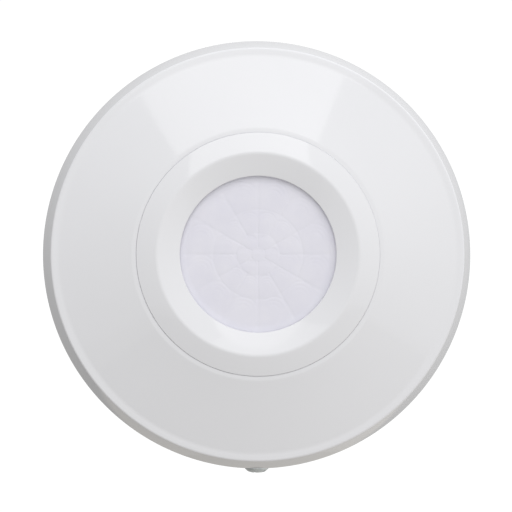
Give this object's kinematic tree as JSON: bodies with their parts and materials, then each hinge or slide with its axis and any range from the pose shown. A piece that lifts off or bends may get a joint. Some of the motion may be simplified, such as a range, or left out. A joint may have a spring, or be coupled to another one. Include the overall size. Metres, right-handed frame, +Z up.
{
  "type": "motion sensor",
  "caption": "Round wall or ceiling infrared motion sensor: white conical cover that hinges on top hooks, funnel bezel, Fresnel lens, locking screw, circuit board inside.",
  "frame": {"origin": "centre of the flat back face that lies against the wall or ceiling", "axes": "+Y points into the mounting surface, -Y out of the front through the lens, +Z up towards the cover hooks, +X to the right seen from the front"},
  "size_m": [0.1432, 0.0382, 0.1448],
  "materials": {
    "white_gloss": "moulded gloss",
    "white_matte": "moulded satin",
    "lens_plastic": "translucent, faint facets",
    "zinc": "zinc plated",
    "brass": "machined",
    "nickel": "nickel plated",
    "board_green": "solder resist",
    "black_plastic": "moulded",
    "terminal_green": "moulded",
    "rubber": "soft",
    "foam": "open cell foam",
    "blue_plastic": "moulded",
    "led_red": "clear tinted",
    "sleeve": "shrink sleeve",
    "filter_glass": "dark filter",
    "ceramic": "fired"
  },
  "bodies": {
    "base": {"rear_base": "white_matte", "cable_grommet": "rubber", "locking_insert": "brass", "circuit_board": "board_green", "pyro_sensor": "nickel", "pyro_window": "filter_glass", "insect_seal": "foam", "terminal_block": "terminal_green", "alarm_relay": "black_plastic", "supply_capacitor": "sleeve", "filter_capacitor": "sleeve", "microcontroller": "black_plastic", "amplifier_chip": "black_plastic", "voltage_regulator": "black_plastic", "status_led": "led_red", "dip_switch": "blue_plastic", "trimmer": "blue_plastic", "jumper_base": "black_plastic", "tamper_switch": "black_plastic", "board_screw_1": "zinc", "board_screw_2": "zinc", "board_screw_3": "zinc", "jumper_pin_1": "brass", "jumper_pin_2": "brass", "chip_resistor_1": "ceramic", "chip_resistor_2": "ceramic", "chip_resistor_3": "ceramic", "chip_resistor_4": "ceramic"},
    "cover": {"front_cover": "white_gloss", "lens_bezel": "white_gloss", "fresnel_lens": "lens_plastic", "lens_retainer": "white_matte", "retainer_screw_1": "zinc", "retainer_screw_2": "zinc", "retainer_screw_3": "zinc"},
    "retaining_clip": {"retaining_clip": "zinc"},
    "locking_screw": {"locking_screw": "zinc"},
    "trimmer_rotor": {"trimmer_rotor": "white_matte"},
    "jumper_cap": {"jumper_cap": "blue_plastic"},
    "tamper_plunger": {"tamper_plunger": "white_matte"},
    "dip_slider_1": {"dip_slider_1": "white_matte"},
    "dip_slider_2": {"dip_slider_2": "white_matte"},
    "dip_slider_3": {"dip_slider_3": "white_matte"},
    "terminal_screw_1": {"terminal_screw_1": "nickel"},
    "terminal_screw_2": {"terminal_screw_2": "nickel"},
    "terminal_screw_3": {"terminal_screw_3": "nickel"},
    "terminal_screw_4": {"terminal_screw_4": "nickel"},
    "terminal_screw_5": {"terminal_screw_5": "nickel"},
    "terminal_screw_6": {"terminal_screw_6": "nickel"},
    "terminal_cage_1": {"terminal_cage_1": "nickel"},
    "terminal_cage_2": {"terminal_cage_2": "nickel"},
    "terminal_cage_3": {"terminal_cage_3": "nickel"},
    "terminal_cage_4": {"terminal_cage_4": "nickel"},
    "terminal_cage_5": {"terminal_cage_5": "nickel"},
    "terminal_cage_6": {"terminal_cage_6": "nickel"}
  },
  "joints": [
    {"name": "cover_swing", "type": "hinge", "parent": "base", "child": "cover", "pos_m": [0, 0, 0.0716], "axis": [-1, 0, 0], "range_deg": [0, 70]},
    {"name": "clip_slide", "type": "slide", "parent": "base", "child": "retaining_clip", "axis": [0, 0, -1], "range_m": [0, 0.0028]},
    {"name": "locking_screw_turn", "type": "hinge", "parent": "retaining_clip", "child": "locking_screw", "pos_m": [0, -0.008, -0.073], "axis": [0, 0, -1], "range_deg": [0, 1441]},
    {"name": "tamper_press", "type": "slide", "parent": "base", "child": "tamper_plunger", "axis": [0, -1, 0], "range_m": [0, 0.001]},
    {"name": "jumper_pull", "type": "slide", "parent": "base", "child": "jumper_cap", "axis": [0, -1, 0], "range_m": [0, 0.006]},
    {"name": "trimmer_turn", "type": "hinge", "parent": "base", "child": "trimmer_rotor", "pos_m": [0.024, -0.014, -0.018], "axis": [0, 1, 0], "range_deg": [-135, 135]},
    {"name": "dip_slide_1", "type": "slide", "parent": "base", "child": "dip_slider_1", "axis": [0, 0, -1], "range_m": [0, 0.0014]},
    {"name": "dip_slide_2", "type": "slide", "parent": "base", "child": "dip_slider_2", "axis": [0, 0, 1], "range_m": [0, 0.0014]},
    {"name": "dip_slide_3", "type": "slide", "parent": "base", "child": "dip_slider_3", "axis": [0, 0, -1], "range_m": [0, 0.0014]},
    {"name": "terminal_turn_1", "type": "hinge", "parent": "base", "child": "terminal_screw_1", "pos_m": [-0.0125, -0.0176, 0.0326], "axis": [0, 1, 0], "range_deg": [0, 721]},
    {"name": "cage_rise_1", "type": "slide", "parent": "base", "child": "terminal_cage_1", "axis": [0, -1, 0], "range_m": [0, 0.0009]},
    {"name": "terminal_turn_2", "type": "hinge", "parent": "base", "child": "terminal_screw_2", "pos_m": [-0.0075, -0.0176, 0.0326], "axis": [0, 1, 0], "range_deg": [0, 721]},
    {"name": "cage_rise_2", "type": "slide", "parent": "base", "child": "terminal_cage_2", "axis": [0, -1, 0], "range_m": [0, 0.0009]},
    {"name": "terminal_turn_3", "type": "hinge", "parent": "base", "child": "terminal_screw_3", "pos_m": [-0.0025, -0.0176, 0.0326], "axis": [0, 1, 0], "range_deg": [0, 721]},
    {"name": "cage_rise_3", "type": "slide", "parent": "base", "child": "terminal_cage_3", "axis": [0, -1, 0], "range_m": [0, 0.0009]},
    {"name": "terminal_turn_4", "type": "hinge", "parent": "base", "child": "terminal_screw_4", "pos_m": [0.0025, -0.0176, 0.0326], "axis": [0, 1, 0], "range_deg": [0, 721]},
    {"name": "cage_rise_4", "type": "slide", "parent": "base", "child": "terminal_cage_4", "axis": [0, -1, 0], "range_m": [0, 0.0009]},
    {"name": "terminal_turn_5", "type": "hinge", "parent": "base", "child": "terminal_screw_5", "pos_m": [0.0075, -0.0176, 0.0326], "axis": [0, 1, 0], "range_deg": [0, 721]},
    {"name": "cage_rise_5", "type": "slide", "parent": "base", "child": "terminal_cage_5", "axis": [0, -1, 0], "range_m": [0, 0.0009]},
    {"name": "terminal_turn_6", "type": "hinge", "parent": "base", "child": "terminal_screw_6", "pos_m": [0.0125, -0.0176, 0.0326], "axis": [0, 1, 0], "range_deg": [0, 721]},
    {"name": "cage_rise_6", "type": "slide", "parent": "base", "child": "terminal_cage_6", "axis": [0, -1, 0], "range_m": [0, 0.0009]}
  ],
  "couplings": [
    {"joint": "locking_screw_turn", "follows": "clip_slide", "rad_per_m": 8976},
    {"joint": "tamper_press", "follows": "cover_swing", "m_per_rad": 0.000818},
    {"joint": "terminal_turn_1", "follows": "cage_rise_1", "rad_per_m": 13963},
    {"joint": "terminal_turn_2", "follows": "cage_rise_2", "rad_per_m": 13963},
    {"joint": "terminal_turn_3", "follows": "cage_rise_3", "rad_per_m": 13963},
    {"joint": "terminal_turn_4", "follows": "cage_rise_4", "rad_per_m": 13963},
    {"joint": "terminal_turn_5", "follows": "cage_rise_5", "rad_per_m": 13963},
    {"joint": "terminal_turn_6", "follows": "cage_rise_6", "rad_per_m": 13963}
  ]
}
